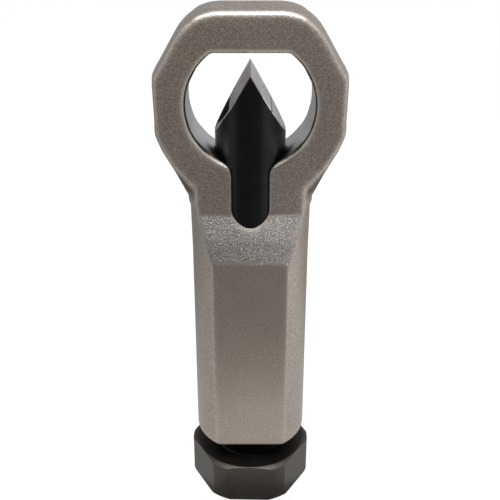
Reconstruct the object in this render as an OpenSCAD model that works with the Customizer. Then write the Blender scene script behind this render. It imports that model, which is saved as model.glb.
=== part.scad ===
// Nut splitter: a forged ring frame, a sliding chisel and a hex-head pressure screw.
// Millimetres. Z runs up the tool's axis from the underside of the screw's head, -Y is the front.

/* [Ring head] */
// Diameter of the ring's round opening
hole_d = 21.1; // [18.1:0.5:23.1]
// Height of the flat anvil above the centre of the opening
anvil_h = 8.5; // [7:0.1:9]
// Width of the ring head
ring_w = 32.2; // [30.5:0.1:36]
// Thickness of the ring and of the neck, front to back
ring_t = 10.7; // [10.3:0.1:11.4]
// Height of the ring's top above the centre of the opening
ring_top = 15.4; // [13.4:0.2:18]
// Distance of the top's sharp corner from the ring's side
top_in = 6.2; // [5:0.1:7]
// Rounding of the top's corner
top_r = 8.8; // [6:0.1:10]
// Height of the side's upper corner above the centre of the opening
side_up = 4.6; // [3:0.1:6]
// Depth of the side's lower corner below the centre of the opening
side_down = 5.1; // [4:0.1:6]
// Amount by which the side leans in towards its lower corner
side_lean = 0.2; // [0:0.05:0.6]
// Distance of the lower flank's bend from the ring's side
flank_in = 3.3; // [2.6:0.1:4]
// Depth of the lower flank's bend below the centre of the opening
flank_down = 10.7; // [9.5:0.1:12]
// Depth at which the lower flank runs into the neck, at the parting line
foot_down = 18.2; // [17:0.1:20]
// Depth at which the lower flank runs into the neck, on the front and back faces
face_foot_down = 14.2; // [13:0.1:16]
// Width of the straight band along the ring's parting line
parting_band = 4.4; // [2:0.1:6]
// Rounding of the ring's outer edges
ring_edge_r = 1; // [0.4:0.1:1.6]
// Amount by which the forged faces lean in from the parting line to the edges
ring_draft = 0.25; // [0.1:0.05:0.5]

/* [Shank] */
// Diameter of the round shank
shank_d = 20.7; // [19.6:0.1:23]
// Distance across the shank's front and back flats
shank_flats = 16.2; // [15.8:0.1:18]
// Length of the shank from its open end to the foot of the slope
shank_len = 38.4; // [36:0.2:50]
// Length of the slope between the flats and the thinner neck
slope_len = 8.4; // [7:0.2:10]
// Amount by which the slope bulges out at its middle
slope_crown = 0.15; // [0:0.05:0.3]
// Length of the neck from the slope to the centre of the opening
neck_len = 18.8; // [17:0.2:22]
// Chamfer on the rim of the shank's open end
shank_chamfer = 0.5; // [0.2:0.1:0.8]

/* [Cutter] */
// Diameter of the cutter
cutter_d = 12; // [11.8:0.1:12.2]
// Length of the cutter, tip included
cutter_len = 36; // [34:0.5:37]
// Included angle of the wedge tip
wedge_angle = 60; // [54:1:70]
// Free space between the edge and the anvil as shown
jaw_gap = 3.3; // [3:0.1:3.4]

/* [Slot] */
// Width of the slot that the bore opens in the front and back faces
slot_w = 6.4; // [6.2:0.1:7]
// Rounding of the lips between the slot and the ring's opening
slot_lip_r = 2; // [1:0.1:3]

/* [Pressure screw] */
// Width across the flats of the head
head_af = 21; // [19:1:22]
// Amount by which the turned corners stand out past the flats, on diameter
head_corner = 1.8; // [1.2:0.1:2.8]
// Height of the head
head_h = 7.9; // [6:0.1:12]
// Angle by which the head is turned from square to the front
head_turn = -1.5; // [-30:0.5:30]
// Slope of the chamfer on the head's upper side, from the flat end
head_chamfer_angle = 22; // [15:1:40]
// Broken edge round the foot of the head
head_edge = 0.3; // [0.1:0.05:0.6]
// Gap between the head and the shank's end as shown
head_gap = 3.4; // [3.4:0.1:8]
// Outer diameter of the screw's thread
thread_d = 14; // [13:0.5:14]
// Diameter of the screw's nose inside the cutter
nose_d = 7; // [6:0.2:7]
// Length of the screw's nose
nose_len = 5.8; // [5:0.2:6.4]

/* [Small parts] */
// Diameter of the snap ring's wire
wire_d = 1; // [0.8:0.1:1]
// Diameter of the guide pin
pin_d = 2.5; // [2:0.1:2.5]
// Depth of the keyway in the cutter
keyway_depth = 1.2; // [0.8:0.1:1.2]

/* [Fits] */
// Clearance on diameter of the cutter in its bore
bore_clearance = 0.3; // [0.1:0.05:0.4]
// Clearance on diameter of the simplified thread
thread_clearance = 0.1; // [0.06:0.02:0.2]
// Clearance around the nose and the ball in the cutter's socket
socket_clearance = 0.2; // [0.1:0.05:0.3]
// Small clearance between parts that bear on each other
bearing_clearance = 0.05; // [0.02:0.01:0.08]
// Travel by which the cutter can be drawn back from the place shown
retract = 14.5; // [10:0.5:14.5]

/* [Hidden] */
$fn = 96;
slice = 0.01;

// Heights along the axis
shank_z = head_h + head_gap;
slope_z = shank_z + shank_len;
neck_z = slope_z + slope_len;
ring_z = neck_z + neck_len;
top_z = ring_z + ring_top;
anvil_z = ring_z + anvil_h;
tip_z = anvil_z - jaw_gap;
cutter_z = tip_z - cutter_len;

// Ring head
hole_r = hole_d / 2;
ring_hw = ring_w / 2;
ring_ht = ring_t / 2;
shank_r = shank_d / 2;
flat_y = shank_flats / 2;
face_hw = sqrt(shank_r * shank_r - ring_ht * ring_ht);
lip = 0.55;

// Cutter and its bore
cutter_r = cutter_d / 2;
bore_d = cutter_d + bore_clearance;
slot_foot_z = neck_z - slope_len * (bore_d / 2 - ring_ht) / (flat_y - ring_ht) - 0.15;
wedge_h = cutter_r / tan(wedge_angle / 2);

// Screw, nose, ball and snap ring
shoulder_z = cutter_z - 0.4;
nose_z = shoulder_z + nose_len;
socket_d = nose_d + socket_clearance;
ball_d = nose_d;
ball_z = nose_z + bearing_clearance + ball_d / 2;
socket_z = ball_z + ball_d / 2 + bearing_clearance;
groove_w = wire_d + 2 * bearing_clearance;
groove_z = shoulder_z + nose_len / 2;
wire_r = (nose_d + socket_d) / 4;
groove_in_r = wire_r - wire_d / 2 - bearing_clearance;
groove_out_r = wire_r + wire_d / 2 + bearing_clearance;
advance = jaw_gap - 0.2;
thread_top_z = shoulder_z + advance + 0.6;
thread_bore_d = thread_d + thread_clearance;

// Guide pin and keyway
pin_z = thread_top_z + pin_d / 2 + 1;
keyway_w = pin_d + 0.2;
keyway_z0 = pin_z - advance - pin_d / 2 - 0.2;
keyway_z1 = pin_z + retract + pin_d / 2 + 0.2;
pin_tip_y = cutter_r - keyway_depth + 0.2;
pin_head_y = wall_y(pin_z) - 0.35;

// Distance of the front and back faces from the axis at height z, on the slope
function wall_y(z) =
    let (t = (z - slope_z) / slope_len)
    flat_y + (ring_ht - flat_y) * t + slope_crown * (1 - abs(2 * t - 1));

// Corner points [x, z, rounding] of the ring's right half from top to foot
function ring_corners(foot) = [
    [ring_hw - top_in, ring_top, top_r],
    [ring_hw, side_up, 1.2],
    [ring_hw - side_lean, -side_down, 3.5],
    [ring_hw - flank_in, -flank_down, 6],
    foot
];

// Direction of a vector
function unit(v) = v / norm(v);

// Points of the arc that rounds corner b between a and c
function corner_arc(a, b, c, r, n = 8) =
    r == 0 ? [b] :
    let (
        u = unit(a - b),
        v = unit(c - b),
        half = acos(u * v) / 2,
        centre = b + unit(u + v) * r / sin(half),
        start = b + u * r / tan(half) - centre,
        finish = b + v * r / tan(half) - centre,
        a0 = atan2(start.y, start.x),
        turn = (atan2(finish.y, finish.x) - a0 + 540) % 360 - 180
    )
    [for (i = [0:n]) centre + r * [cos(a0 + turn * i / n), sin(a0 + turn * i / n)]];

// Outline of the ring's right half, rounded, from the top centre down to its foot
function ring_half(foot) =
    let (
        c = ring_corners(foot),
        p = concat([[0, ring_top]], [for (k = c) [k[0], k[1]]], [[0, c[len(c) - 1][1]]])
    )
    [for (i = [1:len(c)], q = corner_arc(p[i - 1], p[i], p[i + 1], c[i - 1][2])) q];

// Flat outline of the ring head around the centre of its opening
module ring_outline(foot) {
    right = ring_half(foot);
    left = [for (i = [len(right) - 1:-1:0]) [-right[i].x, right[i].y]];
    polygon(concat(right, left));
}

// One layer of the ring at distance y from the middle, drawn in by inset
module ring_layer(y, inset, foot, thick = slice) {
    translate([0, y, ring_z])
        rotate([90, 0, 0])
            linear_extrude(height = thick, center = true)
                offset(delta = -inset)
                    ring_outline(foot);
}

// Solid ring head with leaning faces and rounded edges
module ring_blank() {
    flank = ring_ht - ring_edge_r;
    middle_foot = [shank_r - 1, -foot_down, 0];
    face_foot = [face_hw + ring_edge_r, -face_foot_down, 0];
    hull() {
        ring_layer(0, 0, middle_foot, parting_band);
        for (side = [-1, 1], a = [0:18:90])
            ring_layer(
                side * (flank + ring_edge_r * sin(a) - slice / 2),
                ring_draft + ring_edge_r * (1 - cos(a)),
                face_foot
            );
    }
}

// Round shank with flats, slopes and the start of the neck
module shank_blank() {
    end_r = shank_r - shank_chamfer;
    mid_z = (slope_z + neck_z) / 2;
    mid_y = wall_y(mid_z);
    side = [
        [-flat_y, shank_z], [flat_y, shank_z], [flat_y, slope_z], [mid_y, mid_z], [ring_ht, neck_z],
        [ring_ht, ring_z], [-ring_ht, ring_z], [-ring_ht, neck_z], [-mid_y, mid_z], [-flat_y, slope_z]
    ];
    intersection() {
        rotate_extrude()
            polygon([
                [0, shank_z], [end_r, shank_z], [shank_r, shank_z + shank_chamfer],
                [shank_r, ring_z - hole_r], [0, ring_z - hole_r]
            ]);
        rotate([90, 0, 90])
            linear_extrude(height = shank_d + 2, center = true)
                polygon(side);
    }
}

// Round opening with its flat anvil, widened by grow
module opening(grow, depth) {
    translate([0, 0, ring_z])
        rotate([90, 0, 0])
            linear_extrude(height = depth, center = true)
                intersection() {
                    circle(r = hole_r + grow);
                    translate([-hole_d, anvil_h + grow - 2 * hole_d])
                        square([2 * hole_d, 2 * hole_d]);
                }
}

// Chamfered lip of the opening, cut from the front face
module opening_lip() {
    rim_y = ring_ht + slice;
    inner_y = ring_ht - lip;
    wide = hole_r + lip + slice;
    translate([0, 0, ring_z])
        intersection() {
            rotate([90, 0, 0])
                rotate_extrude()
                    polygon([[0, inner_y], [hole_r, inner_y], [wide, rim_y], [0, rim_y]]);
            rotate([90, 0, 90])
                linear_extrude(height = 2 * wide, center = true)
                    polygon([
                        [-inner_y + slice, -2 * wide], [-inner_y + slice, anvil_h], [-inner_y, anvil_h],
                        [-rim_y, anvil_h + lip + slice], [-rim_y, -2 * wide]
                    ]);
        }
}

// Slot in both faces, with a round foot and rounded lips into the ring's opening
module slot() {
    hw = slot_w / 2;
    r = slot_lip_r;
    cx = hw + r;
    span = hole_r - 0.06 + r;
    cz = -sqrt(span * span - cx * cx);
    reach = atan2(-cz, -cx);
    lip_arc = [for (i = [0:8]) let (a = 180 + (reach - 180) * i / 8) [cx + r * cos(a), cz + r * sin(a)]];
    foot = slot_foot_z - ring_z + hw;
    right = concat([[hw, foot]], lip_arc);
    left = [for (i = [len(right) - 1:-1:0]) [-right[i][0], right[i][1]]];
    translate([0, 0, ring_z])
        rotate([90, 0, 0])
            linear_extrude(height = ring_t + shank_d, center = true) {
                polygon(concat(right, left));
                translate([0, foot])
                    circle(r = hw);
            }
}

// Forged frame
module body() {
    color("#8f8a84")
        difference() {
            union() {
                ring_blank();
                shank_blank();
            }
            opening(0, ring_t + 2);
            opening_lip();
            mirror([0, 1, 0])
                opening_lip();
            slot();
            translate([0, 0, shank_z - 1])
                cylinder(d = bore_d, h = ring_z - shank_z + 1);
            translate([0, 0, shank_z - 1])
                cylinder(d = thread_bore_d, h = thread_top_z - shank_z + 1);
            translate([0, pin_tip_y, pin_z])
                rotate([-90, 0, 0])
                    cylinder(d = pin_d, h = flat_y);
        }
}

// Chisel with a wedge tip, keyway and rear socket
module cutter() {
    edge = 0.06;
    color("#2b2a29")
        difference() {
            intersection() {
                translate([0, 0, cutter_z])
                    cylinder(d = cutter_d, h = cutter_len);
                rotate([90, 0, 0])
                    linear_extrude(height = cutter_d + 2, center = true)
                        polygon([
                            [-cutter_d, cutter_z], [cutter_d, cutter_z], [cutter_d, tip_z - 2 * wedge_h],
                            [edge, tip_z], [-edge, tip_z], [-cutter_d, tip_z - 2 * wedge_h]
                        ]);
            }
            translate([0, 0, cutter_z - 1])
                cylinder(d = socket_d, h = socket_z - cutter_z + 1);
            translate([0, 0, groove_z - groove_w / 2])
                cylinder(r = groove_out_r, h = groove_w);
            translate([-keyway_w / 2, cutter_r - keyway_depth, keyway_z0])
                cube([keyway_w, keyway_depth + 1, keyway_z1 - keyway_z0]);
        }
}

// Hex head with turned corners, a chamfer towards the shank and a broken edge at its foot
module hex_head() {
    face_r = head_af / 2 - 0.15;
    corner_r = (head_af + head_corner) / 2;
    c = (corner_r - face_r) * tan(head_chamfer_angle);
    e = head_edge;
    intersection() {
        rotate([0, 0, head_turn])
            cylinder(d = head_af / cos(30), h = head_h, $fn = 6);
        rotate_extrude()
            polygon([
                [0, 0], [corner_r - e, 0], [corner_r, e], [corner_r, head_h - c], [face_r, head_h],
                [0, head_h]
            ]);
    }
}

// Pressure screw with a plain thread cylinder and a grooved nose
module pressure_screw() {
    color("#262422")
        difference() {
            union() {
                hex_head();
                translate([0, 0, head_h / 2])
                    cylinder(d = thread_d, h = shoulder_z - head_h / 2);
                translate([0, 0, shoulder_z - 1])
                    cylinder(d = nose_d, h = nose_len + 1);
            }
            translate([0, 0, groove_z - groove_w / 2])
                difference() {
                    cylinder(d = nose_d + 1, h = groove_w);
                    cylinder(r = groove_in_r, h = groove_w);
                }
        }
}

// Ball between the screw's nose and the cutter
module thrust_ball() {
    color("#c9ccd0")
        translate([0, 0, ball_z])
            sphere(d = ball_d);
}

// Open wire ring in the grooves of the nose and the socket
module retaining_ring() {
    color("#6f7277")
        translate([0, 0, groove_z])
            rotate([0, 0, 15])
                rotate_extrude(angle = 330)
                    translate([wire_r, 0])
                        circle(d = wire_d, $fn = 24);
}

// Pin through the back wall into the cutter's keyway
module guide_pin() {
    color("#4a4a4c")
        translate([0, pin_tip_y, pin_z])
            rotate([-90, 0, 0])
                cylinder(d = pin_d - 0.04, h = pin_head_y - pin_tip_y);
}

body();
cutter();
pressure_screw();
thrust_ball();
retaining_ring();
guide_pin();
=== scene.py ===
# %% [markdown]
# # A nut splitter
# This small workshop tool cracks a rusted nut: the nut sits in the ring, and a screw drives a
# hardened wedge up into it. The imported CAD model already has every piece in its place, so this
# lesson only dresses it: rounded forged edges, a ground wedge, a real screw thread, and the
# finishes that blasting, oxide blacking and grinding leave on steel.

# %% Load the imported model
import math

import bmesh
import bpy
from mathutils import Matrix, Vector


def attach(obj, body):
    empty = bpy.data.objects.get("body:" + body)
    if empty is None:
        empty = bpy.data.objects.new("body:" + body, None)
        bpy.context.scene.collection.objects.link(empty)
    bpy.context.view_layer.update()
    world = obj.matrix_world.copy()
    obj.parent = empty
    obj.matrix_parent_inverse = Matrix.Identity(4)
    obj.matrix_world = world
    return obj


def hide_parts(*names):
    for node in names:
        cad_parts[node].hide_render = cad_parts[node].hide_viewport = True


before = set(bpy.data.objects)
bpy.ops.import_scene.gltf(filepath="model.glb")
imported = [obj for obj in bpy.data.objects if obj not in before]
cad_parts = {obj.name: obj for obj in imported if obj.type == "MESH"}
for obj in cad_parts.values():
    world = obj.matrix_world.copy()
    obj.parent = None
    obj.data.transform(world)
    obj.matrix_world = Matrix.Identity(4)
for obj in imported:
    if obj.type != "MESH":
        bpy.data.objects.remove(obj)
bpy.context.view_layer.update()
MM = 0.001
scene = bpy.context.scene

# %% [markdown]
# ## The camera
# The picture looks down on the front of the tool from close by, so the ring looks larger than the
# hex head. The place and tilt were worked out from edges whose sizes are known, and the long side
# of the view angle follows from the lens and the sensor.

# %% Camera
LOOK_DOWN = 25.57  # degrees
camera = bpy.data.objects.new("camera", bpy.data.cameras.new("camera"))
scene.collection.objects.link(camera)
camera.location = (-0.00006, -0.1379, 0.11486)
camera.rotation_euler = (math.radians(90 - LOOK_DOWN), 0, 0)
camera.data.lens = 60.85
camera.data.sensor_width = 36
camera.data.clip_start = 0.005
scene.camera = camera
print("camera", tuple(round(v, 4) for v in camera.location), "lens", camera.data.lens)

# %% [markdown]
# ## The forged frame
# The ring and the shank are one drop forging, trimmed, bored and shot blasted, so no edge is
# sharp. Bevelling each edge of so many crossing faces would be slow and would break at the
# corners. A voxel remesh wraps the whole solid in an even skin instead, and a few rounds of
# smoothing pull that skin off the edges, much as the shot wears them down.


# %% Forging as drawn
def piece_from(name, bm):
    """Turn a bmesh into a smooth-shaded object in the scene."""
    mesh = bpy.data.meshes.new(name)
    bm.to_mesh(mesh)
    bm.free()
    mesh.shade_smooth()
    piece = bpy.data.objects.new(name, mesh)
    scene.collection.objects.link(piece)
    return piece


def merged_copy(node):
    """Return a bmesh of a CAD node with its loose triangles joined up."""
    bm = bmesh.new()
    bm.from_mesh(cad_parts[node].data)
    bmesh.ops.remove_doubles(bm, verts=bm.verts, dist=0.002 * MM)
    return bm


forged_frame = piece_from("forged_frame", merged_copy("body"))
print("forging as drawn:", len(forged_frame.data.polygons), "triangles")

# %% [markdown]
# The bore breaks out of the sloped step in a knife edge, which is thinner than a voxel and would
# come out as stairs. So the bore is plugged first, as on the raw forging, and drilled again after
# the smoothing: then the slot has one clean line all round. The plug is two rods, one trimmed to
# the sloped step and one to the flat faces of the neck above it.

# %% Plug the bore
NECK_Y, NECK_Z = 5.35, 58.1  # mm: half the neck's thickness, and the height where it starts
STEP_RUN, STEP_RISE = 2.75, 8.4  # mm: the sloped step under it
PLUG_R, STEP_PLUG, NECK_PLUG = 6.2, (50, 58.2), (58, 66.3)  # mm


def cut_rod(radius, low, high, planes):
    """Make an upright rod between two heights (mm), trimmed by planes of (point, normal)."""
    bm = bmesh.new()
    bmesh.ops.create_cone(bm, cap_ends=True, segments=96, radius1=radius * MM,
                          radius2=radius * MM, depth=(high - low) * MM)
    bmesh.ops.translate(bm, verts=bm.verts, vec=(0, 0, (low + high) / 2 * MM))
    for point, normal in planes:
        bmesh.ops.bisect_plane(bm, geom=bm.verts[:] + bm.edges[:] + bm.faces[:],
                               plane_co=Vector(point) * MM, plane_no=normal, clear_outer=True)
        bmesh.ops.holes_fill(bm, edges=[e for e in bm.edges if e.is_boundary], sides=0)
    bmesh.ops.recalc_face_normals(bm, faces=bm.faces)
    return bm


step_faces = [((0, side * NECK_Y, NECK_Z), (0, side * STEP_RISE, STEP_RUN)) for side in (-1, 1)]
neck_faces = [((0, side * NECK_Y, NECK_Z), (0, side, 0)) for side in (-1, 1)]
bm = merged_copy("body")
for (low, high), planes in ((STEP_PLUG, step_faces), (NECK_PLUG, neck_faces)):
    plug = cut_rod(PLUG_R, low, high, planes)
    filler = bpy.data.meshes.new("filler")
    plug.to_mesh(filler)
    plug.free()
    bm.from_mesh(filler)
    bpy.data.meshes.remove(filler)
bm.to_mesh(forged_frame.data)
bm.free()
print("plugged between", STEP_PLUG[0], "and", NECK_PLUG[1], "mm")

# %% Smooth the skin
SKIN_VOXEL = 0.32 * MM


def apply_modifiers(piece):
    """Work out a piece's modifiers and keep the result as its mesh."""
    graph = bpy.context.evaluated_depsgraph_get()
    mesh = bpy.data.meshes.new_from_object(piece.evaluated_get(graph))
    piece.modifiers.clear()
    piece.data = mesh


skin = forged_frame.modifiers.new("skin", "REMESH")
skin.mode, skin.voxel_size, skin.use_smooth_shade = "VOXEL", SKIN_VOXEL, True
worn = forged_frame.modifiers.new("worn edges", "SMOOTH")
worn.factor, worn.iterations = 0.5, 5
apply_modifiers(forged_frame)
print("skin:", 2 * len(forged_frame.data.polygons), "triangles")

# %% [markdown]
# Smoothing also thins the lower flanks of the ring and the gussets under them. A forging is full
# there, because the dies close on that line, so the skin is let out sideways by up to 0.5 mm. The
# shoulders at the top, where the dies part first, are drawn in a little. A short table of heights
# does this more evenly than a second set of solids would, and the middle stays as it is.

# %% Fill out the flanks
LET_OUT = ((50, 0), (58.4, 0.14), (59.4, 0.46), (65, 0.3), (69, 0.45), (72, 0.12), (74, 0),
           (80, 0), (82.5, -0.2), (92.4, -0.3))  # mm: height, and how far the sides go out there
SIDE_FROM, SIDE_FULL = 8.5 * MM, 9.7 * MM
for vert in forged_frame.data.vertices:
    share = min(1, max(0, (abs(vert.co.x) - SIDE_FROM) / (SIDE_FULL - SIDE_FROM)))
    for (low, start), (high, end) in zip(LET_OUT, LET_OUT[1:]):
        if low * MM <= vert.co.z < high * MM:
            shift = start + (end - start) * (vert.co.z / MM - low) / (high - low)
            vert.co.x += math.copysign(share * MM, vert.co.x) * shift
            break
print("flanks let out by up to", max(shift for _, shift in LET_OUT), "mm")

# %% [markdown]
# The slot is milled where the bore breaks out: straight sides, a round foot, and lips that run in
# an arc into the ring. Its outline is a short list of points and three arcs, drawn by turning a
# point about a centre, then extruded right through the neck.

# %% Slot mill
SLOT_R, LIP_R, SLOT_FOOT = 3.25, 3.0, 55.95  # mm
RING_R, RING_Z = 10.5, 76.9  # mm: the opening that the lips run into, and its middle
MILL_REACH = 12 * MM


def swing(bm, start, centre, degrees, steps):
    """Add points on an arc in the XZ plane, from a start vertex turned about a centre (mm)."""
    row = [start]
    for _ in range(steps):
        copy = bm.verts.new(row[-1].co)
        bmesh.ops.rotate(bm, verts=[copy], cent=Vector((centre[0], 0, centre[1])) * MM,
                         matrix=Matrix.Rotation(math.radians(degrees / steps), 3, "Y"))
        row.append(copy)
    return row


def extrude(bm, faces, vec):
    """Extrude faces along a vector into a closed solid."""
    grown = bmesh.ops.extrude_face_region(bm, geom=faces)["geom"]
    bmesh.ops.translate(bm, verts=[v for v in grown if isinstance(v, bmesh.types.BMVert)], vec=vec)


lip_x = SLOT_R + LIP_R
lip_z = RING_Z - math.sqrt((RING_R + LIP_R) ** 2 - lip_x ** 2)
lip_turn = math.degrees(math.atan2(RING_Z - lip_z, lip_x))
foot_z = SLOT_FOOT + SLOT_R
bm = bmesh.new()
outline = swing(bm, bm.verts.new(Vector((-SLOT_R, 0, foot_z)) * MM), (0, foot_z), -180, 24)
outline += swing(bm, bm.verts.new(Vector((SLOT_R, 0, lip_z)) * MM), (lip_x, lip_z), lip_turn, 10)
top = outline[-1].co.copy()
corner = bm.verts.new(Vector((-top.x, 0, top.z)))
outline += swing(bm, corner, (-lip_x, lip_z), lip_turn, 10)
face = bm.faces.new(outline)
bmesh.ops.translate(bm, verts=bm.verts, vec=(0, -MILL_REACH, 0))
extrude(bm, [face], (0, 2 * MILL_REACH, 0))
bmesh.ops.recalc_face_normals(bm, faces=bm.faces)
slot_mill = piece_from("slot_mill", bm)
print("slot", 2 * SLOT_R, "mm wide, from", SLOT_FOOT, "mm up")

# %% Drill the bore and mill the slot
DRILL_R, DRILL_FROM, DRILL_TO = 6.12, 49.9, 70  # mm


def clean_cuts(piece):
    """Join points that all but meet after a cut, and drop faces without area."""
    bm = bmesh.new()
    bm.from_mesh(piece.data)
    bmesh.ops.triangulate(bm, faces=[f for f in bm.faces if len(f.verts) > 4])
    bmesh.ops.remove_doubles(bm, verts=bm.verts, dist=0.005 * MM)
    bmesh.ops.dissolve_degenerate(bm, edges=bm.edges, dist=0.005 * MM)
    bm.to_mesh(piece.data)
    bm.free()


drill = piece_from("drill", cut_rod(DRILL_R, DRILL_FROM, DRILL_TO, []))
for tool in (slot_mill, drill):
    cut = forged_frame.modifiers.new(tool.name, "BOOLEAN")
    cut.operation, cut.object, cut.solver = "DIFFERENCE", tool, "EXACT"
apply_modifiers(forged_frame)
for tool in (slot_mill, drill):
    bpy.data.objects.remove(tool)
clean_cuts(forged_frame)
forged_frame.data.shade_smooth()
forged_frame.data.set_sharp_from_angle(angle=math.radians(35))
print("frame skin:", sum(len(f.vertices) - 2 for f in forged_frame.data.polygons), "triangles")

# %% [markdown]
# Wear shows first on edges that stand out. For each point of the skin, the lie of its neighbours
# tells how far it stands proud of them; that number is stored with the mesh, so that the material
# can read it wherever the tool is turned.

# %% Mark the proud edges
FULLY_PROUD = 0.02 * MM


def mark_proud(piece, rounds, full):
    """Store how convex the surface is at each point, from 0 (flat) to 1, as an attribute."""
    bm = bmesh.new()
    bm.from_mesh(piece.data)
    bm.verts.ensure_lookup_table()
    proud = []
    for v in bm.verts:
        around = [e.other_vert(v).co for e in v.link_edges]
        middle = sum(around, Vector()) / max(len(around), 1)
        proud.append((v.co - middle).dot(v.normal))
    for _ in range(rounds):
        proud = [(proud[v.index] + sum(proud[e.other_vert(v).index] for e in v.link_edges))
                 / (1 + len(v.link_edges)) for v in bm.verts]
    bm.free()
    layer = piece.data.attributes.new("proud", "FLOAT", "POINT")
    layer.data.foreach_set("value", [min(1, max(0, p / full)) for p in proud])
    return max(proud)


print("most proud point:", round(mark_proud(forged_frame, 2, FULLY_PROUD) / MM, 4), "mm")
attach(forged_frame, "frame")
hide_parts("body")

# %% [markdown]
# ## Helpers for materials
# Colours are written as the hex values that a screen shows, and Blender's sockets want linear
# light, so one function turns one into the other. The second one adds a node, sets what is given
# for it and links what feeds it, which keeps every material below as a list of steps. The third
# starts a material with coordinates in millimetres, so that patterns are given in real sizes.


# %% Material helpers
def linear(hex_colour):
    """Turn an sRGB hex colour into linear RGBA."""
    parts = [int(hex_colour[i:i + 2], 16) / 255 for i in (1, 3, 5)]
    return [p / 12.92 if p <= 0.04045 else ((p + 0.055) / 1.055) ** 2.4 for p in parts] + [1]


def add(tree, kind, settings, links):
    """Add a node, set its properties or sockets, and link inputs to outputs (or a node's first)."""
    node = tree.nodes.new(kind)
    for key, value in settings.items():
        if isinstance(key, str) and hasattr(node, key):
            setattr(node, key, value)
        else:
            node.inputs[key].default_value = value
    for key, source in links.items():
        if isinstance(source, bpy.types.Node):
            source = source.outputs[0]
        tree.links.new(source, node.inputs[key])
    return node


def new_material(name):
    """Make a node material and return it with its tree, shader and mm coordinates."""
    material = bpy.data.materials.new(name)
    material.use_nodes = True
    tree = material.node_tree
    place = add(tree, "ShaderNodeTexCoord", {}, {})
    mm = add(tree, "ShaderNodeMapping", {"Scale": (1000, 1000, 1000)},
             {"Vector": place.outputs["Object"]})
    return material, tree, tree.nodes["Principled BSDF"], mm.outputs[0]


print("forging grey in linear light:", [round(v, 3) for v in linear("#9F968D")])

# %% [markdown]
# ## Forged steel, shot blasted
# Blasting leaves a warm grey skin with an even grain. Some places differ, and each gets a mask
# from 0 to 1. They could be painted by hand, but a mask that is worked out from Object
# coordinates is sharp at any distance. The first place is the sloped step under the slot, which
# keeps the coarse grain of the raw forging. It is a plane, so a point is on it if its height and
# depth add up.

# %% Mask of the sloped step
# Shot-blasted carbon steel: a dull metal with soft reflections and a fine sparkle.
STEP_FOOT = 49.7  # mm
ON_STEP = 0.32  # mm: how far the worn skin may lie off the plane


def narrowed(tree, mask, limits):
    """Fade a mask out by limits of (value, where it is clear, where it is full, least share)."""
    for value, clear, full, least in limits:
        share = add(tree, "ShaderNodeMapRange",
                    {"From Min": clear, "From Max": full, "To Min": least}, {0: value})
        mask = add(tree, "ShaderNodeMath", {"operation": "MULTIPLY"}, {0: mask, 1: share})
    return mask


steel, tree, shader, mm = new_material("Shot-blasted forged steel")
x, y, z = add(tree, "ShaderNodeSeparateXYZ", {}, {0: mm}).outputs
out_x = add(tree, "ShaderNodeMath", {"operation": "ABSOLUTE"}, {0: x})
out_y = add(tree, "ShaderNodeMath", {"operation": "ABSOLUTE"}, {0: y})
slope = STEP_RUN / STEP_RISE
along = add(tree, "ShaderNodeMath", {"operation": "MULTIPLY_ADD", 1: slope}, {0: z, 2: out_y})
on_plane = add(tree, "ShaderNodeMath",
               {"operation": "COMPARE", 1: NECK_Y + NECK_Z * slope, 2: ON_STEP}, {0: along})
step = narrowed(tree, on_plane, ((z, NECK_Z, NECK_Z - 0.3, 0), (z, STEP_FOOT, STEP_FOOT + 0.9, 0)))
print("sloped step from", STEP_FOOT, "to", NECK_Z, "mm")

# %% [markdown]
# The wall of the ring was bored bright, and its lip is brushed to a pale tan line. Both follow the
# opening, so they are found by how far a point lies outside it, past the round or past the flat
# anvil. The nook between each lower flank and the shank gets painted shade: a dark coat with soft
# borders on all sides.

# %% Masks of the wall, lip and painted nook shade
WALL_R, ANVIL_Z = 10.55, 85.4  # mm
spoke = add(tree, "ShaderNodeVectorMath",
            {"operation": "MULTIPLY_ADD", 1: (1, 0, 1), 2: (0, 0, -RING_Z)}, {0: mm})
reach = add(tree, "ShaderNodeVectorMath", {"operation": "LENGTH"}, {0: spoke}).outputs["Value"]
past_round = add(tree, "ShaderNodeMath", {"operation": "SUBTRACT", 1: WALL_R}, {0: reach})
past_anvil = add(tree, "ShaderNodeMath", {"operation": "SUBTRACT", 1: ANVIL_Z}, {0: z})
outside = add(tree, "ShaderNodeMath", {"operation": "MAXIMUM"}, {0: past_round, 1: past_anvil})
wall = add(tree, "ShaderNodeMapRange", {"From Min": 0.22, "From Max": 0.12}, {0: outside})
lip = add(tree, "ShaderNodeMapRange", {"From Min": 0.95, "From Max": 0.75}, {0: outside})
# Painted shade in the nook under each lower flank, where it meets the shank.
painted_nook_shade = add(tree, "ShaderNodeMapRange", {"From Min": 9.2, "From Max": 9.9, "To Max": 0.85},
           {0: out_x})
painted_nook_shade = narrowed(tree, painted_nook_shade, ((out_y, 5.2, 4.2, 0), (z, 60.2, 61.8, 0), (z, 67.5, 64.5, 0)))
print("masks by the opening: wall, lip; under the flanks: nook")
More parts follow.
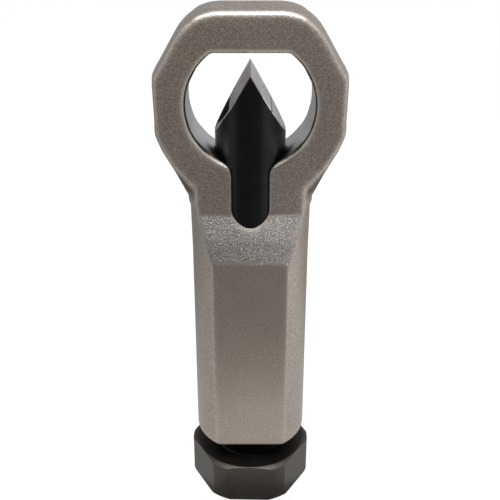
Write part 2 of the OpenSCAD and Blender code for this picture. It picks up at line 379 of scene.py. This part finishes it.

# %% [markdown]
# Three more coats are painted shade. A painted shadow darkens the front of the wall around the
# mouth of the bore, a thin painted shade runs along the edge between the wall and the lip, and a
# painted shade dims the lip's highlight where it runs in towards the slot, more so on the right.

# %% Masks of painted shade: round the bore, along the lip's edge, on the lower lip
flat_place = add(tree, "ShaderNodeVectorMath", {"operation": "MULTIPLY", 1: (1, 1, 0)}, {0: mm})
from_axis = add(tree, "ShaderNodeVectorMath", {"operation": "LENGTH"}, {0: flat_place})
lower = add(tree, "ShaderNodeMath", {"operation": "LESS_THAN", 1: 76}, {0: z})
# Painted shadow round the mouth of the bore, on the front of the wall.
painted_bore_shadow = add(tree, "ShaderNodeMapRange", {"From Min": 7.9, "From Max": 6.9, "To Max": 0.95},
          {0: from_axis.outputs["Value"]})
painted_bore_shadow = narrowed(tree, painted_bore_shadow, ((wall, 0, 1, 0), (lower, 0, 1, 0), (y, 0.5, -1.5, 0)))
# Painted shade: a thin dark line along the edge between the wall and the lip.
painted_edge_shade = add(tree, "ShaderNodeMapRange", {"From Min": 0.34, "From Max": 0.22, "To Max": 0.9},
            {0: outside})
painted_edge_shade = narrowed(tree, painted_edge_shade, ((out_y, 4.45, 4.65, 0), (out_x, 6.5, 7.5, 0)))
# Painted shade that dims the soft box's highlight on the lower lip, more on the right.
painted_lip_shade = narrowed(tree, lip, ((z, 71, 68, 0), (out_y, 4.2, 4.7, 0), (x, -3, 3, 0.45)))
print("masks by use: oil, grime, dull lip")

# %% [markdown]
# One noise makes the dimples of the shot and the specks of colour, so that they lie together. The
# ring was blasted harder than the shank, the step is the coarsest, and the bored wall has next to
# no grain.

# %% Grain of the forging
# Real shot grain is about 0.1 mm; it is drawn at 0.3 mm so that it shows in the picture.
GRAIN, STEP_GRAIN, CLOUD = 0.3, 0.24, 6  # mm
fine, coarse, cloudy = (
    add(tree, "ShaderNodeTexNoise", {"Scale": 1 / size, "Detail": detail, "Roughness": rough},
        {"Vector": mm}).outputs["Fac"]
    for size, detail, rough in ((GRAIN, 3, 0.7), (STEP_GRAIN, 2, 0.6), (CLOUD, 2, 0.5))
)
grain = add(tree, "ShaderNodeMix", {}, {0: step, 2: fine, 3: coarse})
on_ring = add(tree, "ShaderNodeMapRange",
              {"From Min": 56, "From Max": 60, "To Min": 1, "To Max": 1.5}, {0: z})
heavy = add(tree, "ShaderNodeMath", {"operation": "MULTIPLY_ADD", 1: 1.6}, {0: step, 2: on_ring})
depth = add(tree, "ShaderNodeMath", {"operation": "MULTIPLY", 1: 0.28}, {0: heavy})
strength = narrowed(tree, depth, ((wall, 1, 0, 0.1),))
bump = add(tree, "ShaderNodeBump", {"Distance": 0.1 * MM}, {"Strength": strength, "Height": grain})
print("grain", GRAIN, "mm, heavier on the ring and heaviest on the step")

# %% [markdown]
# The colour is laid on in coats: the cloudy skin with its specks, the worn edges, painted shade in
# the nooks, the brushed lip, the bored wall, and then painted shade round the bore, along the lip's
# edge and on the lower lip. Each coat is one hex colour that a mask lets through.

# %% Colour of the forging
skin_tone = add(tree, "ShaderNodeMix",
                {"data_type": "RGBA", 6: linear("#9F968D"), 7: linear("#ADA49B")}, {0: cloudy})
skin_tone = add(tree, "ShaderNodeMix", {"data_type": "RGBA", 7: linear("#918E8B")},
                {0: step, 6: skin_tone.outputs[2]})
speck = add(tree, "ShaderNodeMath", {"operation": "SUBTRACT", 1: 0.5}, {0: grain})
speck = add(tree, "ShaderNodeMath", {"operation": "MULTIPLY"}, {0: speck, 1: heavy})
speck = add(tree, "ShaderNodeMath", {"operation": "MULTIPLY_ADD", 1: 1.7, 2: 1}, {0: speck})
speck = add(tree, "ShaderNodeMath", {"operation": "MAXIMUM", 1: 0.72}, {0: speck})
specked = add(tree, "ShaderNodeVectorMath", {"operation": "SCALE"},
              {0: skin_tone.outputs[2], "Scale": speck})
proud = add(tree, "ShaderNodeAttribute", {"attribute_name": "proud"}, {})
edge = add(tree, "ShaderNodeMath", {"operation": "MULTIPLY", 1: 0.3}, {0: proud.outputs["Fac"]})
brushed = narrowed(tree, lip, ((coarse, 0.35, 0.6, 0),))
colour = specked.outputs[0]
# The nook, bore, lip-edge and lower-lip coats are painted shade.
for mask, coat in ((edge, "#C6C0B6"), (painted_nook_shade, "#403C35"), (brushed, "#BBB4AA"), (wall, "#D6D5D4"),
                   (painted_bore_shadow, "#1B1A18"), (painted_edge_shade, "#24221F"), (painted_lip_shade, "#7F7870")):
    coated = add(tree, "ShaderNodeMix", {"data_type": "RGBA", 7: linear(coat)},
                 {0: mask, 6: colour})
    colour = coated.outputs[2]
print("coats on the skin: edges, nooks, lip, wall, oil, grime, dull lip")


# %% Forged steel
def dress(mesh, material, shader, feeds):
    """Feed a metal's shader and make it a mesh's only material."""
    shader.inputs["Metallic"].default_value = 1
    for socket, source in feeds.items():
        material.node_tree.links.new(source, shader.inputs[socket])
    mesh.materials.clear()
    mesh.materials.append(material)
    print("material:", material.name)


rough = add(tree, "ShaderNodeMapRange", {"To Min": 0.44, "To Max": 0.34}, {0: wall})
dress(forged_frame.data, steel, shader,
      {"Base Color": colour, "Roughness": rough.outputs[0], "Normal": bump.outputs[0]})

# %% [markdown]
# ## The wedge cutter
# The cutter is a 12 mm rod of tool steel, blacked all over and then ground on two sides to a 60
# degree wedge. The CAD solid has the shape; a copy of it, joined up and given a small bevel, gets
# the crisp broken edges that a grinding wheel leaves.

# %% Cutter
wedge_cutter = piece_from("wedge_cutter", merged_copy("cutter"))
broken = wedge_cutter.modifiers.new("broken edges", "BEVEL")
broken.limit_method, broken.angle_limit = "ANGLE", math.radians(25)
broken.width, broken.segments = 0.12 * MM, 2
apply_modifiers(wedge_cutter)
wedge_cutter.data.set_sharp_from_angle(angle=math.radians(18))
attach(wedge_cutter, "chisel")
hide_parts("cutter")
print("cutter:", len(wedge_cutter.data.polygons), "faces")

# %% [markdown]
# ## Oxide-black tool steel with ground faces
# Blacking gives a deep, slightly oily black with soft long reflections. The ground faces are bare
# steel with slanting wheel marks. They are found by the plane of the wedge, 30 degrees from the
# axis. The tip was ground a second time. Below that line the wheel missed the left face, which is
# black but for its front rim, and on the right face a dark seam marks the line.

# %% Masks of the ground faces
# Blacked tool steel: a dark satin metal; bare ground steel: bright, with streaks one way.
TIP_Z, REGROUND_Z = 82.1, 76.1  # mm
WEDGE_SLOPE = math.tan(math.radians(30))
tool_steel, tree, shader, mm = new_material("Black-oxide tool steel")
x, y, z = add(tree, "ShaderNodeSeparateXYZ", {}, {0: mm}).outputs
out_x = add(tree, "ShaderNodeMath", {"operation": "ABSOLUTE"}, {0: x})
slant = add(tree, "ShaderNodeMath", {"operation": "MULTIPLY_ADD", 1: WEDGE_SLOPE},
            {0: z, 2: out_x})
ground = add(tree, "ShaderNodeMath", {"operation": "COMPARE", 1: TIP_Z * WEDGE_SLOPE, 2: 0.1},
             {0: slant})
left = add(tree, "ShaderNodeMath", {"operation": "LESS_THAN", 1: 0}, {0: x})
right = add(tree, "ShaderNodeMath", {"operation": "GREATER_THAN", 1: 0}, {0: x})
ahead = add(tree, "ShaderNodeMath", {"operation": "LESS_THAN", 1: 0}, {0: y})
flat_place = add(tree, "ShaderNodeVectorMath", {"operation": "MULTIPLY", 1: (1, 1, 0)}, {0: mm})
radius = add(tree, "ShaderNodeVectorMath", {"operation": "LENGTH"}, {0: flat_place})
rim = narrowed(tree, ahead, ((radius.outputs["Value"], 5.25, 5.4, 0),))
missed = narrowed(tree, left, ((z, REGROUND_Z + 0.1, REGROUND_Z - 0.15, 0), (rim, 1, 0, 0)))
seam = add(tree, "ShaderNodeMath", {"operation": "COMPARE", 1: REGROUND_Z, 2: 0.16}, {0: z})
seam = add(tree, "ShaderNodeMath", {"operation": "MULTIPLY"}, {0: seam, 1: right})
black_part = add(tree, "ShaderNodeMath", {"operation": "MULTIPLY_ADD", 1: 0.75},
                 {0: seam, 2: missed})
left_black = add(tree, "ShaderNodeMath", {"operation": "MULTIPLY"}, {0: ground, 1: missed})
ground = narrowed(tree, ground, ((black_part, 1, 0, 0),))
print("ground up to", TIP_Z, "mm, a second time above", REGROUND_Z, "mm")

# %% [markdown]
# Wheel marks are long in one direction, so their noise is turned and stretched by a Mapping node.
# A second, wide noise makes the haze of the blacking and a tan stain on the left face, which is
# also painted shade that darkens that face.

# %% Cutter finish
HAZE = 3  # mm
turned = add(tree, "ShaderNodeMapping",
             {"Rotation": (math.radians(35), 0, 0), "Scale": (1, 0.5, 4)}, {"Vector": mm})
marks = add(tree, "ShaderNodeTexNoise", {"Scale": 1.2, "Detail": 4, "Roughness": 0.6},
            {"Vector": turned})
haze = add(tree, "ShaderNodeTexNoise", {"Scale": 1 / HAZE, "Detail": 3}, {"Vector": mm})
black = add(tree, "ShaderNodeMix",
            {"data_type": "RGBA", 6: linear("#282829"), 7: linear("#323234")}, {0: haze})
streak = add(tree, "ShaderNodeMapRange", {"From Min": 0.38, "From Max": 0.62}, {0: marks})
bright = add(tree, "ShaderNodeMix",
             {"data_type": "RGBA", 6: linear("#BAB7B3"), 7: linear("#F6F5F3")}, {0: streak})
# Tan stain and painted shade: the left ground face is both tinted and darkened.
stain_and_shade = add(tree, "ShaderNodeMapRange", {"From Min": 0.15, "From Max": 0.65, "To Max": 0.85},
            {0: haze})
stain_and_shade = add(tree, "ShaderNodeMath", {"operation": "MULTIPLY"}, {0: stain_and_shade, 1: left})
bright = add(tree, "ShaderNodeMix",
             {"data_type": "RGBA", "blend_type": "MULTIPLY", 7: linear("#93897F")},
             {0: stain_and_shade, 6: bright.outputs[2]})
faces = add(tree, "ShaderNodeMix", {"data_type": "RGBA"},
            {0: ground, 6: black.outputs[2], 7: bright.outputs[2]})
sheen = add(tree, "ShaderNodeMapRange", {"To Min": 0.36, "To Max": 0.3}, {0: ground})
cut_depth = add(tree, "ShaderNodeMapRange", {"To Min": 0.02, "To Max": 0.25}, {0: ground})
bump = add(tree, "ShaderNodeBump", {"Distance": 0.05 * MM},
           {"Strength": cut_depth, "Height": marks})
edge_tint = add(tree, "ShaderNodeMix",
                {"data_type": "RGBA", 6: linear("#FFFFFF"), 7: linear("#3A3A39")}, {0: left_black})
dress(wedge_cutter.data, tool_steel, shader,
      {"Base Color": faces.outputs[2], "Specular Tint": edge_tint.outputs[2],
       "Roughness": sheen.outputs[0], "Normal": bump.outputs[0]})

# %% [markdown]
# ## The pressure screw
# A hex bar is turned down, threaded and chamfered. Its head is the common part of a hex prism and
# a turned blank with a shallow cone towards the shank, so it is made just so: one mesh of each, and
# Blender's Boolean keeps what they share. That gives the curved chamfer lines of a real bolt head.

# %% Hex head
HEAD_AF, HEAD_CORNER, HEAD_H, HEAD_TURN = 21 * MM, 22.8 * MM, 7.9 * MM, math.radians(-1.5)
CONE, HEAD_EDGE = math.tan(math.radians(22)), 0.3 * MM


def turned_blank(name, profile, turns=96):
    """Spin a profile of (radius, height) points round the Z axis into a closed solid."""
    bm = bmesh.new()
    line = [bm.verts.new((r, 0, z)) for r, z in profile]
    edges = [bm.edges.new(pair) for pair in zip(line, line[1:])]
    bmesh.ops.spin(bm, geom=line + edges, cent=(0, 0, 0), axis=(0, 0, 1), angle=2 * math.pi,
                   steps=turns, use_merge=True)
    bmesh.ops.remove_doubles(bm, verts=bm.verts, dist=0.001 * MM)
    bmesh.ops.recalc_face_normals(bm, faces=bm.faces)
    return piece_from(name, bm)


corner_r = HEAD_CORNER / 2
flat_r = HEAD_AF / 2 - 0.15 * MM
cone_h = (corner_r - flat_r) * CONE
blank = turned_blank("blank", [(0, 0), (corner_r - HEAD_EDGE, 0), (corner_r, HEAD_EDGE),
                               (corner_r, HEAD_H - cone_h), (flat_r, HEAD_H), (0, HEAD_H)])
bm = bmesh.new()
bmesh.ops.create_circle(bm, cap_ends=True, segments=6, radius=HEAD_AF / math.sqrt(3))
extrude(bm, bm.faces[:], (0, 0, HEAD_H))
bmesh.ops.rotate(bm, verts=bm.verts, cent=(0, 0, 0),
                 matrix=Matrix.Rotation(HEAD_TURN + math.pi / 2, 3, "Z"))
bmesh.ops.recalc_face_normals(bm, faces=bm.faces)
hex_screw = piece_from("hex_screw", bm)
common = hex_screw.modifiers.new("common", "BOOLEAN")
common.operation, common.object, common.solver = "INTERSECT", blank, "EXACT"
eased = hex_screw.modifiers.new("eased edges", "BEVEL")
eased.limit_method, eased.angle_limit = "ANGLE", math.radians(20)
eased.width, eased.segments, eased.harden_normals = 0.18 * MM, 3, True
apply_modifiers(hex_screw)
bpy.data.objects.remove(blank)
print("hex head:", len(hex_screw.data.polygons), "faces")

# %% [markdown]
# The thread is one V-shaped step, spun round the axis while it climbs one pitch a turn. Because
# the step is one pitch high, each turn lands on the last one and the doubles can be merged.

# %% Thread
PITCH, CREST, ROOT = 1.5 * MM, 6.9 * MM, 6.05 * MM
START, SHOULDER, TURN_STEPS = 6 * MM, 45.7 * MM, 40

bm = bmesh.new()
step_line = [(ROOT, 0), (ROOT, 0.12), (CREST, 0.47), (CREST, 0.62), (ROOT, 1)]
line = [bm.verts.new((r, 0, START - PITCH + h * PITCH)) for r, h in step_line]
edges = [bm.edges.new(pair) for pair in zip(line, line[1:])]
turns = math.ceil((SHOULDER - START) / PITCH) + 2
bmesh.ops.spin(bm, geom=line + edges, cent=(0, 0, 0), axis=(0, 0, 1), angle=2 * math.pi * turns,
               steps=TURN_STEPS * turns, dvec=(0, 0, PITCH / TURN_STEPS))
bmesh.ops.remove_doubles(bm, verts=bm.verts, dist=0.01 * MM)
for height, side in ((START, -1), (SHOULDER - 0.6 * MM, 1)):
    bmesh.ops.bisect_plane(bm, geom=bm.verts[:] + bm.edges[:] + bm.faces[:],
                           plane_co=(0, 0, height), plane_no=(0, 0, side), clear_outer=True)
    rim = [e for e in bm.edges if e.is_boundary and abs(e.verts[0].co.z - height) < 0.01 * MM]
    bmesh.ops.holes_fill(bm, edges=rim, sides=0)
bmesh.ops.recalc_face_normals(bm, faces=bm.faces)
thread = piece_from("thread", bm)
print("thread:", turns - 2, "turns,", len(thread.data.polygons), "faces")

# %% [markdown]
# The nose that pushes the cutter is a plain turned end. Head, thread and nose sink into each other
# a little and go into one mesh, because on the bench the screw is one piece.

# %% Nose, and join the screw
NOSE_R, NOSE_TOP, NOSE_EDGE = 3.5 * MM, 51.5 * MM, 0.4 * MM
collar_r, collar_foot = ROOT + 0.2 * MM, SHOULDER - 1.2 * MM
nose = turned_blank("nose", [(0, collar_foot), (collar_r, collar_foot),
                             (collar_r, SHOULDER - 0.3 * MM), (ROOT - 0.1 * MM, SHOULDER),
                             (NOSE_R, SHOULDER), (NOSE_R, NOSE_TOP - NOSE_EDGE),
                             (NOSE_R - NOSE_EDGE, NOSE_TOP), (0, NOSE_TOP)], 64)
bm = bmesh.new()
for part in (hex_screw, thread, nose):
    bm.from_mesh(part.data)
bm.to_mesh(hex_screw.data)
bm.free()
for part in (thread, nose):
    bpy.data.objects.remove(part)
clean_cuts(hex_screw)
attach(hex_screw, "screw")
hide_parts("pressure_screw")
print("screw:", len(hex_screw.data.polygons), "faces")

# %% [markdown]
# ## Blackened screw steel
# The screw is blacked like the cutter, but handling and the spanner have rubbed its head to a dark
# brown-grey, broken up by wide, faint blotches. The thread above the head is oily and black, and
# the same near-black is painted shade on the top of the head, in the narrow gap under the body.

# %% Screw finish
# Oil-blacked alloy steel: a dark brown-grey satin metal with slight blotches.
BLOTCH, PORE = 2.5, 0.25  # mm
screw_steel, tree, shader, mm = new_material("Oil-blacked screw steel")
blotch = add(tree, "ShaderNodeTexNoise", {"Scale": 1 / BLOTCH, "Detail": 4, "Roughness": 0.6},
             {"Vector": mm})
pores = add(tree, "ShaderNodeTexNoise", {"Scale": 1 / PORE, "Detail": 2}, {"Vector": mm})
tone = add(tree, "ShaderNodeMix",
           {"data_type": "RGBA", 6: linear("#474340"), 7: linear("#56524D")}, {0: blotch})
axes = add(tree, "ShaderNodeSeparateXYZ", {}, {0: mm})
# Near-black from just under the top of the head up: the black thread, and painted shade on the
# head's top in the gap.
thread_and_gap_shade = add(tree, "ShaderNodeMapRange", {"From Min": 7.7, "From Max": 8.1},
                {0: axes.outputs["Z"]})
tone = add(tree, "ShaderNodeMix", {"data_type": "RGBA", 7: linear("#0B0B0A")},
           {0: thread_and_gap_shade, 6: tone.outputs[2]})
gloss = add(tree, "ShaderNodeMapRange", {"To Min": 0.34, "To Max": 0.46}, {0: blotch})
bump = add(tree, "ShaderNodeBump", {"Distance": 0.05 * MM, "Strength": 0.06}, {"Height": pores})
dress(hex_screw.data, screw_steel, shader,
      {"Base Color": tone.outputs[2], "Roughness": gloss.outputs[0], "Normal": bump.outputs[0]})

# %% [markdown]
# ## The small bright pieces
# The thrust ball, the guide pin and the snap ring sit inside the tool. Their CAD shapes are right,
# so they keep them and only get their finishes: a polished ball, a drawn pin and a dark spring
# wire. One function with a little noise in colour and gloss is enough for all three.


# %% Small pieces
def plain_metal(node, name, dark, light, grain_mm, rough, streak=(1, 1, 1)):
    """Dress a CAD node in a metal with a slight, even variation of colour and gloss."""
    material, tree, shader, mm = new_material(name)
    drawn = add(tree, "ShaderNodeMapping", {"Scale": streak}, {"Vector": mm})
    grain = add(tree, "ShaderNodeTexNoise", {"Scale": 1 / grain_mm, "Detail": 3},
                {"Vector": drawn})
    tone = add(tree, "ShaderNodeMix", {"data_type": "RGBA", 6: linear(dark), 7: linear(light)},
               {0: grain})
    gloss = add(tree, "ShaderNodeMapRange", {"To Min": rough - 0.05, "To Max": rough + 0.05},
                {0: grain})
    dress(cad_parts[node].data, material, shader,
          {"Base Color": tone.outputs[2], "Roughness": gloss.outputs[0]})


# A polished ball is a bright mirror, phosphated wire a dark matt grey, and a drawn pin is streaked.
plain_metal("thrust_ball", "Polished bearing steel", "#BDBBB8", "#D6D5D3", 1.5, 0.12)
plain_metal("retaining_ring", "Phosphated spring wire", "#3A3835", "#4B4844", 0.4, 0.4)
plain_metal("guide_pin", "Drawn pin steel", "#8E8A85", "#B0ACA7", 0.3, 0.3, (1, 0.2, 1))

# %% [markdown]
# ## Floor, light and surroundings
# Bare metal is a mirror of its surroundings, so what matters most is what lies in front of it: a
# white sheet level with the foot of the head, which ends 43 mm away, and a dim, warm room behind
# the camera. That sheet is seen in the metal only. The floor itself lies 15 mm lower, because the
# screw needs that room when it backs out. The camera sees plain white.

# %% Floor
SHEET, SHEET_FRONT = 0.6, 0.043  # m: each way, and to the front of the tool's axis
FLOOR_Z, REFLECTOR_Z = -15 * MM, -0.02 * MM


def paper_sheet(name, height):
    """Lay a square sheet of paper at a height, most of it behind the tool."""
    bm = bmesh.new()
    bmesh.ops.create_grid(bm, x_segments=1, y_segments=1, size=SHEET / 2)
    bmesh.ops.translate(bm, verts=bm.verts, vec=(0, SHEET / 2 - SHEET_FRONT, height))
    piece = piece_from(name, bm)
    return piece


floor = paper_sheet("floor", FLOOR_Z)
reflector = paper_sheet("reflector", REFLECTOR_Z)
reflector.visible_camera = reflector.visible_diffuse = reflector.visible_shadow = False
print("floor at", FLOOR_Z, "m, reflector at", REFLECTOR_Z, "m")

# %% [markdown]
# The paper has two sides to it: a matt white that takes the tool's shadow, and a glow for the rays
# that look at it. For the camera the glow is white. In the metal the glow has painted light and
# shade: it is brighter to the right, holds a painted shadow close to the tool and fades far behind,
# which gives the shank its soft gradient.


# %% Paper
# Coated white paper: matt, with no colour of its own.
def looking_rays(tree):
    """Return the camera's rays, and those together with the rays of mirrors and glass."""
    path = add(tree, "ShaderNodeLightPath", {}, {})
    camera_ray = path.outputs["Is Camera Ray"]
    looking = camera_ray
    for ray in ("Is Glossy Ray", "Is Transmission Ray"):
        looking = add(tree, "ShaderNodeMath", {"operation": "MAXIMUM"},
                      {0: looking, 1: path.outputs[ray]})
    return camera_ray, looking


paper, tree, _, mm = new_material("White paper sheet")
camera_ray, looking = looking_rays(tree)
glow_share = add(tree, "ShaderNodeMath", {"operation": "MULTIPLY", 1: 0.85}, {0: looking})
x, y = add(tree, "ShaderNodeSeparateXYZ", {}, {0: mm}).outputs[:2]
wide = add(tree, "ShaderNodeMath", {"operation": "ABSOLUTE"}, {0: x})
# Painted light and shade in the glow: brighter to the right, a painted shadow near the tool, fading
# far behind.
across, front, behind, fading = (
    add(tree, "ShaderNodeMapRange",
        {"From Min": start, "From Max": end, "To Min": first, "To Max": last}, {0: value})
    for value, start, end, first, last in (
        (x, -150, 150, 0.2, 0.98), (y, -16, -22, 0.08, 1.66),
        (wide, 8.5, 10.5, 0, 1), (y, 25, 65, 1, 0.23))
)
# Painted shadow: the glow is dark in a strip under and just in front of the tool.
painted_shadow_near = add(tree, "ShaderNodeMath", {"operation": "MAXIMUM"}, {0: front, 1: behind})
level = add(tree, "ShaderNodeMath", {"operation": "MULTIPLY"}, {0: across, 1: painted_shadow_near})
level = add(tree, "ShaderNodeMath", {"operation": "MULTIPLY", "use_clamp": True},
            {0: level, 1: fading})
level = add(tree, "ShaderNodeMath", {"operation": "MAXIMUM"}, {0: level, 1: camera_ray})
glow = add(tree, "ShaderNodeEmission", {"Color": linear("#FFFFFF")}, {"Strength": level})
matt = add(tree, "ShaderNodeBsdfDiffuse", {"Color": linear("#F4F3F1")}, {})
both = add(tree, "ShaderNodeMixShader", {}, {0: glow_share, 1: matt, 2: glow})
tree.links.new(both.outputs[0], tree.nodes["Material Output"].inputs["Surface"])
for sheet in (floor, reflector):
    sheet.data.materials.append(paper)
print("material:", paper.name)

# %% [markdown]
# The room lights the tool evenly in white. Where the metal looks at the room, it sees a warm dusk
# low down behind the camera, a cooler wall at the back, and less light on the left than on the
# right. The camera sees plain white here too.

# %% Colours of the room
world = bpy.data.worlds.new("room")
world.use_nodes = True
scene.world = world
tree = world.node_tree
camera_ray, looking = looking_rays(tree)
way = add(tree, "ShaderNodeTexCoord", {}, {})
x, y, z = add(tree, "ShaderNodeSeparateXYZ", {}, {0: way.outputs["Generated"]}).outputs
unseen = add(tree, "ShaderNodeMath", {"operation": "SUBTRACT", 0: 1}, {1: camera_ray})
dim = narrowed(tree, unseen, ((y, -0.35, -0.8, 0), (z, 0.7, 0.12, 0)))
to_back = narrowed(tree, unseen, ((y, 0.2, 0.8, 0),))
cool = add(tree, "ShaderNodeMix",
           {"data_type": "RGBA", 6: linear("#FFFFFF"), 7: linear("#EDEDF0")}, {0: to_back})
to_right = add(tree, "ShaderNodeMapRange", {"From Min": -0.2, "From Max": 0.3}, {0: x})
dusk = add(tree, "ShaderNodeMix",
           {"data_type": "RGBA", 6: linear("#80756C"), 7: linear("#7F7A77")}, {0: to_right})
room = add(tree, "ShaderNodeMix", {"data_type": "RGBA"},
           {0: dim, 6: cool.outputs[2], 7: dusk.outputs[2]})
print("room: white, dim and warm behind the camera")

# %% Light of the room
across = add(tree, "ShaderNodeMapRange",
             {"From Min": -0.35, "From Max": 0.35, "To Min": 0.66, "To Max": 1}, {0: x})
back = add(tree, "ShaderNodeMapRange",
           {"From Min": 0.3, "From Max": 0.9, "To Min": 1, "To Max": 0.58}, {0: y})
level = add(tree, "ShaderNodeMath", {"operation": "MULTIPLY"}, {0: across, 1: back})
level = add(tree, "ShaderNodeMath", {"operation": "MAXIMUM"}, {0: level, 1: camera_ray})
around = add(tree, "ShaderNodeBackground", {}, {"Color": room.outputs[2], "Strength": level})
fill = tree.nodes["Background"]
fill.inputs["Color"].default_value = linear("#FFFFFF")
fill.inputs["Strength"].default_value = 1
both = add(tree, "ShaderNodeMixShader", {}, {0: looking, 1: fill, 2: around})
tree.links.new(both.outputs[0], tree.nodes["World Output"].inputs["Surface"])
print("room light: an even white fill, and the room in the metal")

# %% [markdown]
# One soft box hangs above and a little in front. It draws the pale line along the top edge of the
# ring and lets the sloped step catch more light than the upright faces. A snoot, which is a lamp
# with a narrow beam, adds a little light on the right half of that step.


# %% Lamps
def soft_box(name, place, target, size, watts):
    """Hang an area light at a place and turn it to a target."""
    light = bpy.data.lights.new(name, "AREA")
    light.shape, light.size, light.size_y, light.energy = "RECTANGLE", size[0], size[1], watts
    lamp = bpy.data.objects.new(name, light)
    scene.collection.objects.link(lamp)
    lamp.location = place
    lamp.rotation_euler = (Vector(target) - Vector(place)).to_track_quat("-Z", "Y").to_euler()
    return lamp


soft_box("soft box", (0, -0.15, 0.42), (0, 0, 0.07), (0.3, 0.14), 2.4)
snoot = soft_box("snoot", (0.05, -0.16, 0.09), (0.007, -0.0065, 0.0545), (0.012, 0.012), 0.00007)
snoot.data.spread = math.radians(9)
scene.view_settings.view_transform = "Standard"
print("a soft box above and a snoot on the sloped step")
